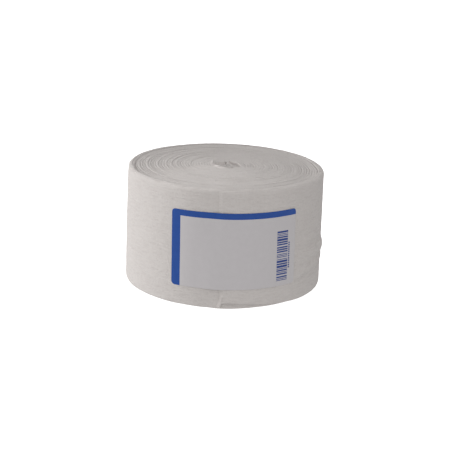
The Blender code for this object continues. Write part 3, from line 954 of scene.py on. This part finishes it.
class Nodes:
    """Small helper that adds and links the nodes of a material or of the world."""

    def __init__(self, owner):
        owner.use_nodes = True
        self.owner = owner
        self.tree = owner.node_tree
        self.shader = self.tree.nodes.get("Principled BSDF")

    def add(self, kind, **settings):
        node = self.tree.nodes.new(kind)
        for name, value in settings.items():
            setattr(node, name, value)
        return node

    def link(self, source, target):
        self.tree.links.new(source, target)

    def place(self, scale):
        """The place on the cloth, stretched by a scale along, across and by lap."""
        attribute = self.add("ShaderNodeAttribute", attribute_name="cloth_place")
        mapping = self.add("ShaderNodeMapping")
        set_inputs(mapping, {"Scale": scale})
        self.link(attribute.outputs["Vector"], mapping.inputs["Vector"])
        return mapping.outputs["Vector"]

    def noise(self, scale, detail, roughness=0.5, distortion=0.0):
        node = self.add("ShaderNodeTexNoise")
        set_inputs(node, {"Scale": 1.0, "Detail": detail, "Roughness": roughness,
                          "Distortion": distortion})
        self.link(self.place(scale), node.inputs["Vector"])
        return node.outputs["Fac"]

    def math(self, operation, first, second):
        node = self.add("ShaderNodeMath", operation=operation)
        for socket, value in zip(node.inputs, (first, second)):
            if isinstance(value, (int, float)):
                socket.default_value = value
            else:
                self.link(value, socket)
        return node.outputs["Value"]

    def mix_of(self, parts):
        """Sum of factors, each by its weight."""
        total = 0.0
        for factor, weight in parts:
            total = self.math("ADD", self.math("MULTIPLY", factor, weight), total)
        return total

    def threads(self, axis, pitch, noise_scale):
        """Rounded threads, a pitch apart along one axis of the cloth, which wander a little."""
        parts = self.add("ShaderNodeSeparateXYZ")
        self.link(self.place((1.0, 1.0, 1.0)), parts.inputs["Vector"])
        turn = self.math("MULTIPLY", parts.outputs[axis], math.pi / pitch)
        shift = self.math("MULTIPLY", self.noise(noise_scale, 2.0), THREAD_WANDER)
        wave = self.math("SINE", self.math("ADD", turn, shift), 0.0)
        return self.math("ABSOLUTE", wave, 0.0)

    def ease(self, source, span, values):
        """Ease from the first value to the second over a span of a factor."""
        node = self.add("ShaderNodeMapRange", interpolation_type="SMOOTHSTEP")
        names = ("From Min", "From Max", "To Min", "To Max")
        set_inputs(node, dict(zip(names, (*span, *values))))
        self.link(source, node.inputs["Value"])
        return node.outputs["Result"]

    def ramp(self, factor, colours):
        """Colour between two colours by a factor."""
        node = self.add("ShaderNodeValToRGB")
        for stop, place, colour in zip(node.color_ramp.elements, RAMP_PLACES, colours):
            stop.position = place
            stop.color = (*colour, 1.0)
        self.link(factor, node.inputs["Fac"])
        return node.outputs["Color"]

    def bump(self, height, distance, strength):
        node = self.add("ShaderNodeBump")
        set_inputs(node, {"Distance": distance, "Strength": strength})
        self.link(height, node.inputs["Height"])
        self.link(node.outputs["Normal"], self.shader.inputs["Normal"])


def cloth_material(name, tones):
    """Matt cloth: threads that run round the roll, threads across them, and streaks."""
    nodes = Nodes(bpy.data.materials.new(name))
    set_inputs(nodes.shader, CLOTH_SURFACE)
    streak = nodes.noise(*CLOTH_STREAKS)
    crepe = nodes.noise(*CLOTH_CREPE)
    patch = nodes.noise(*CLOTH_PATCHES)
    mottle = nodes.noise(*CLOTH_MOTTLE)
    level = nodes.threads("Y", LEVEL_THREAD, LEVEL_THREAD_NOISE)
    upright = nodes.threads("X", UPRIGHT_THREAD, UPRIGHT_THREAD_NOISE)
    weave = nodes.math("MAXIMUM", level, upright)
    height = nodes.mix_of([(streak, 2.2), (crepe, 1.0), (mottle, 1.9), (weave, 0.7)])
    nodes.bump(height, CLOTH_BUMP, CLOTH_BUMP_SHARE)
    # The weave's share of the tone is painted shade: it makes the gaps between the threads darker.
    tone = nodes.mix_of([(streak, 0.6), (patch, 0.2), (mottle, 0.35), (weave, 0.1)])
    nodes.link(nodes.ramp(tone, tones), nodes.shader.inputs["Base Color"])
    return nodes.owner


def paper_material(name, tones, roughness):
    """Smooth coated paper with a faint mottle."""
    nodes = Nodes(bpy.data.materials.new(name))
    set_inputs(nodes.shader, {"Roughness": roughness, "Specular IOR Level": PAPER_SHINE})
    mottle = nodes.noise(*PAPER_MOTTLE)
    nodes.bump(nodes.noise(*PAPER_FIBRE), PAPER_BUMP, PAPER_BUMP_SHARE)
    nodes.link(nodes.ramp(mottle, tones), nodes.shader.inputs["Base Color"])
    return nodes.owner


# --- stage, light, camera ---
CAMERA_DISTANCE = 1012.7 * MM
CAMERA_ELEVATION = 17.017
CAMERA_ROLL = 2.257
FOCAL_PIXELS = 1162.56
FRAME_PIXELS = 452
SENSOR_WIDTH = 36.0
PHOTO_CENTRE = (224.53, 220.77)     # where the middle of the roll lies in the photograph

# The light: radiance from above, below and the front, less from the sides; a key; a fill.
LIGHT_ABOVE = 0.63
LIGHT_BELOW = 0.48
LIGHT_FRONT = 0.41
LIGHT_SIDES = -0.12
HORIZON_EASE = 0.15             # how far to either side of the horizon the light changes
FRONT_RUN = (0.3, -0.9)         # along Y, where the light of the front starts and is full
SIDES_RUN = (0.5, 1.0)          # along X, the same for the sides
KEY_AZIMUTH = -99.0
KEY_ELEVATION = 8.0
KEY_DISTANCE = 1.7
KEY_SIZE = 0.5
KEY_POWER = 17.0
KEY_TARGET = (0.0, 0.0, 0.06)
FILL_PLACE = (-0.025, -0.05, 0.17)
FILL_SIZE = 0.08
FILL_POWER = 0.0135
FILL_TARGET = (0.0, -0.05, 0.1)
FLOOR_REACH = 6.0
FLOOR_COLOUR = (0.9, 0.9, 0.9, 1.0)
WHITE = (1.0, 1.0, 1.0, 1.0)
FLOOR_GLOW = 0.9
FLOOR_DEPTH = 0.2 * MM


def set_camera():
    """Camera at the photograph's angle, distance, roll and framing."""
    elevation = math.radians(CAMERA_ELEVATION)
    forward = Vector((0.0, math.cos(elevation), -math.sin(elevation)))
    right = Vector((1.0, 0.0, 0.0))
    up = right.cross(forward)
    middle = Vector((0.0, 0.0, 0.5 * BANDAGE_WIDTH))
    data = bpy.data.cameras.new("photo_camera")
    data.sensor_width = SENSOR_WIDTH
    data.lens = FOCAL_PIXELS / FRAME_PIXELS * data.sensor_width
    camera = bpy.data.objects.new("photo_camera", data)
    bpy.context.collection.objects.link(camera)
    # The picture's own right and up, turned by the roll.
    roll = math.radians(CAMERA_ROLL)
    picture_right = right * math.cos(roll) + up * math.sin(roll)
    picture_up = up * math.cos(roll) - right * math.sin(roll)
    per_pixel = CAMERA_DISTANCE / FOCAL_PIXELS
    aim = middle + picture_right * (0.5 * FRAME_PIXELS - PHOTO_CENTRE[0]) * per_pixel
    aim -= picture_up * (0.5 * FRAME_PIXELS - PHOTO_CENTRE[1]) * per_pixel
    rotation = Matrix((picture_right, picture_up, -forward)).transposed()
    camera.matrix_world = Matrix.Translation(aim - forward * CAMERA_DISTANCE) @ rotation.to_4x4()
    bpy.context.scene.camera = camera


def add_area_light(name, place, target, size, power):
    data = bpy.data.lights.new(name, "AREA")
    data.shape = "SQUARE"
    data.size = size
    data.energy = power
    light = bpy.data.objects.new(name, data)
    light.location = place
    light.rotation_euler = (Vector(target) - Vector(place)).to_track_quat("-Z", "Y").to_euler()
    bpy.context.collection.objects.link(light)


def add_world():
    """White surroundings for the camera; soft light from all round, most from the front."""
    world = bpy.data.worlds.new("studio")
    bpy.context.scene.world = world
    nodes = Nodes(world)
    nodes.tree.nodes.clear()
    place = nodes.add("ShaderNodeTexCoord")
    parts = nodes.add("ShaderNodeSeparateXYZ")
    nodes.link(place.outputs["Generated"], parts.inputs["Vector"])
    horizon = (-HORIZON_EASE, HORIZON_EASE)
    up = nodes.ease(parts.outputs["Z"], horizon, (LIGHT_BELOW, LIGHT_ABOVE))
    front = nodes.ease(parts.outputs["Y"], FRONT_RUN, (0.0, LIGHT_FRONT))
    beside = nodes.math("ABSOLUTE", parts.outputs["X"], 0.0)
    sides = nodes.ease(beside, SIDES_RUN, (0.0, LIGHT_SIDES))
    strength = nodes.math("ADD", nodes.math("ADD", up, front), sides)

    seen = nodes.add("ShaderNodeBackground")
    set_inputs(seen, {"Color": WHITE, "Strength": 1.0})
    lit = nodes.add("ShaderNodeBackground")
    nodes.link(strength, lit.inputs["Strength"])
    path = nodes.add("ShaderNodeLightPath")
    mix = nodes.add("ShaderNodeMixShader")
    output = nodes.add("ShaderNodeOutputWorld")
    nodes.link(path.outputs["Is Camera Ray"], mix.inputs["Fac"])
    nodes.link(lit.outputs["Background"], mix.inputs[1])
    nodes.link(seen.outputs["Background"], mix.inputs[2])
    nodes.link(mix.outputs["Shader"], output.inputs["Surface"])


def add_floor():
    """Plain white floor, which glows, and neither lights nor shades the roll."""
    mesh = bpy.data.meshes.new("floor")
    corners = [(-FLOOR_REACH, -FLOOR_REACH), (FLOOR_REACH, -FLOOR_REACH),
               (FLOOR_REACH, FLOOR_REACH), (-FLOOR_REACH, FLOOR_REACH)]
    mesh.from_pydata([(x, y, -FLOOR_DEPTH) for x, y in corners], [], [(0, 1, 2, 3)])
    floor = bpy.data.objects.new("floor", mesh)
    floor.visible_diffuse = False
    floor.visible_shadow = False
    material = bpy.data.materials.new("floor_white")
    material.use_nodes = True
    shader = material.node_tree.nodes["Principled BSDF"]
    set_inputs(shader, {"Base Color": FLOOR_COLOUR, "Roughness": 1.0, "Specular IOR Level": 0.0,
                        "Emission Color": WHITE, "Emission Strength": FLOOR_GLOW})
    mesh.materials.append(material)
    bpy.context.collection.objects.link(floor)


def set_stage():
    """White floor and surroundings, soft light, a key from the left and a small fill."""
    bpy.context.scene.view_settings.view_transform = "Standard"
    add_world()
    add_floor()
    turn = math.radians(KEY_AZIMUTH)
    rise = math.radians(KEY_ELEVATION)
    flat = KEY_DISTANCE * math.cos(rise)
    place = (flat * math.sin(turn), -flat * math.cos(turn), KEY_DISTANCE * math.sin(rise))
    add_area_light("key", place, KEY_TARGET, KEY_SIZE, KEY_POWER)
    add_area_light("fill", FILL_PLACE, FILL_TARGET, FILL_SIZE, FILL_POWER)


def main():
    cloth = cloth_material("gauze_cloth", CLOTH_TONES)
    paper = paper_material("label_paper", PAPER_TONES, PAPER_ROUGHNESS)
    blue = paper_material("label_blue", BLUE_TONES, BLUE_ROUGHNESS)
    ink = paper_material("label_ink", INK_TONES, PAPER_ROUGHNESS)

    outer_turn = build_outer_turn(cloth)
    upper = build_wound_half("wound_turns", True, BODY_COLUMNS, LAP_POINTS, cloth)
    lower = build_wound_half("wound_foot", False, FOOT_COLUMNS, LAP_POINTS[::2], cloth)
    label = build_label(paper, blue, ink)

    for piece, slot in ((outer_turn, "gauze_loose_end"), (upper, "gauze"),
                        (lower, "gauze"), (label, "label_paper")):
        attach(piece, "root")
    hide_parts("bandage_roll")
    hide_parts("bandage_roll")
    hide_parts("loose_end")
    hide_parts("label")
    set_stage()
    set_camera()


main()
